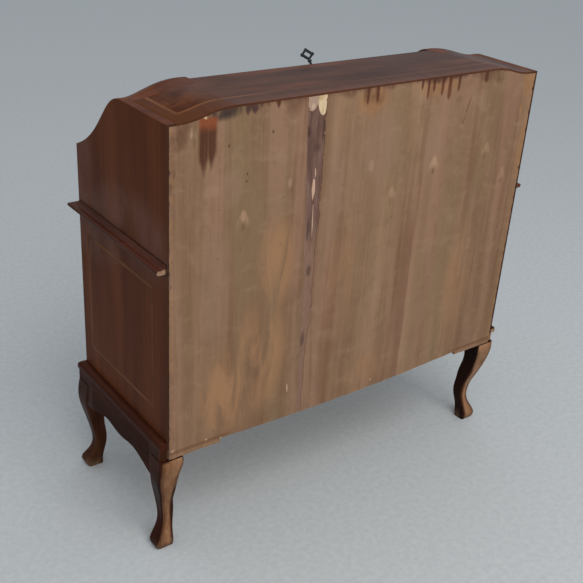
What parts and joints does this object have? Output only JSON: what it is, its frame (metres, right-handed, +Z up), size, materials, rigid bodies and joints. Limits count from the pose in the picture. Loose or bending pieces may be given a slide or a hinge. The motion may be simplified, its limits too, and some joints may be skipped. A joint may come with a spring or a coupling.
{
  "type": "escritoire",
  "caption": "Writing desk with a sloping hinged fall front, lock and key, pull-out fall supports, long drawers, a pigeonhole gallery and cabriole legs.",
  "frame": {"origin": "on the floor, under the middle of the whole desk's box", "axes": "+Z up; the drawers and the fall front face -Y; +X is on the right of a person who sits at the desk"},
  "size_m": [0.966, 0.3908, 0.969],
  "materials": {
    "case_veneer": "satin varnish over reddish-brown veneer with pale stringing",
    "top_veneer": "worn satin varnish, cross-banded edge",
    "solid_dark": "stained and varnished hardwood",
    "back_board": "raw plywood, stained and scuffed",
    "inner_wood": "plain planed wood",
    "gallery_wood": "thin waxed hardwood",
    "fall_leather": "worn writing leather",
    "brass": "aged brass",
    "key_iron": "dark worn iron",
    "nail_iron": "rusty iron"
  },
  "bodies": {
    "case": {"apron_front": "solid_dark", "back_nails": "nail_iron", "back_panel": "back_board", "base_moulding": "solid_dark", "bottom_board": "inner_wood", "cheek_left": "case_veneer", "cheek_right": "case_veneer", "desk_board": "inner_wood", "drawer_divider": "inner_wood", "frieze_panels": "case_veneer", "gallery_shelf": "gallery_wood", "gallery_uprights": "gallery_wood", "hinge_desk_leaves": "brass", "hinge_pins": "brass", "leg_front_left": "solid_dark", "leg_front_right": "solid_dark", "leg_rear_left": "solid_dark", "leg_rear_right": "solid_dark", "loper_guides": "inner_wood", "partitions": "gallery_wood", "pigeonhole_dividers": "gallery_wood", "rear_rail": "inner_wood", "side_aprons": "solid_dark", "side_left": "case_veneer", "side_right": "case_veneer", "strike_plate": "brass", "top_board": "top_veneer", "waist_moulding": "solid_dark", "waist_rail": "inner_wood"},
    "fall": {"fall_board": "case_veneer", "fall_lining": "fall_leather", "hinge_fall_leaves": "brass", "lock_case": "brass", "escutcheon": "brass"},
    "key": {"key": "key_iron"},
    "bolt": {"lock_bolt": "brass"},
    "loper_left": {"loper_left": "solid_dark"},
    "loper_right": {"loper_right": "solid_dark"},
    "frieze_drawer": {"frieze_drawer_front": "case_veneer", "frieze_drawer_sides": "inner_wood", "frieze_drawer_back": "inner_wood", "frieze_drawer_bottom": "inner_wood", "frieze_drawer_knobs": "brass"},
    "lower_drawer": {"lower_drawer_front": "case_veneer", "lower_drawer_sides": "inner_wood", "lower_drawer_back": "inner_wood", "lower_drawer_bottom": "inner_wood", "lower_drawer_knobs": "brass"},
    "upper_drawer": {"upper_drawer_front": "case_veneer", "upper_drawer_sides": "inner_wood", "upper_drawer_back": "inner_wood", "upper_drawer_bottom": "inner_wood", "upper_drawer_knobs": "brass"},
    "small_drawer_left": {"small_drawer_front_left": "gallery_wood", "small_drawer_box_left": "inner_wood", "small_drawer_knob_left": "brass"},
    "small_drawer_right": {"small_drawer_front_right": "gallery_wood", "small_drawer_box_right": "inner_wood", "small_drawer_knob_right": "brass"}
  },
  "joints": [
    {"name": "fall_hinge", "type": "hinge", "parent": "case", "child": "fall", "pos_m": [0, -0.1684, 0.769], "axis": [1, 0, 0], "range_deg": [0, 138.25]},
    {"name": "key_turn", "type": "hinge", "parent": "fall", "child": "key", "pos_m": [0, -0.01354, 0.93134], "axis": [0, -0.6659, 0.7461], "range_deg": [0, 180]},
    {"name": "bolt_slide", "type": "slide", "parent": "fall", "child": "bolt", "axis": [0, 0.7461, 0.6659], "range_m": [0, 0.009]},
    {"name": "loper_left_slide", "type": "slide", "parent": "case", "child": "loper_left", "axis": [0, -1, 0], "range_m": [0, 0.2]},
    {"name": "loper_right_slide", "type": "slide", "parent": "case", "child": "loper_right", "axis": [0, -1, 0], "range_m": [0, 0.2]},
    {"name": "frieze_drawer_slide", "type": "slide", "parent": "case", "child": "frieze_drawer", "axis": [0, -1, 0], "range_m": [0, 0.26]},
    {"name": "lower_drawer_slide", "type": "slide", "parent": "case", "child": "lower_drawer", "axis": [0, -1, 0], "range_m": [0, 0.26]},
    {"name": "upper_drawer_slide", "type": "slide", "parent": "case", "child": "upper_drawer", "axis": [0, -1, 0], "range_m": [0, 0.26]},
    {"name": "small_drawer_left_slide", "type": "slide", "parent": "case", "child": "small_drawer_left", "axis": [0, -1, 0], "range_m": [0, 0.11]},
    {"name": "small_drawer_right_slide", "type": "slide", "parent": "case", "child": "small_drawer_right", "axis": [0, -1, 0], "range_m": [0, 0.11]}
  ],
  "couplings": [
    {"joint": "key_turn", "follows": "bolt_slide", "rad_per_m": 349.06}
  ]
}
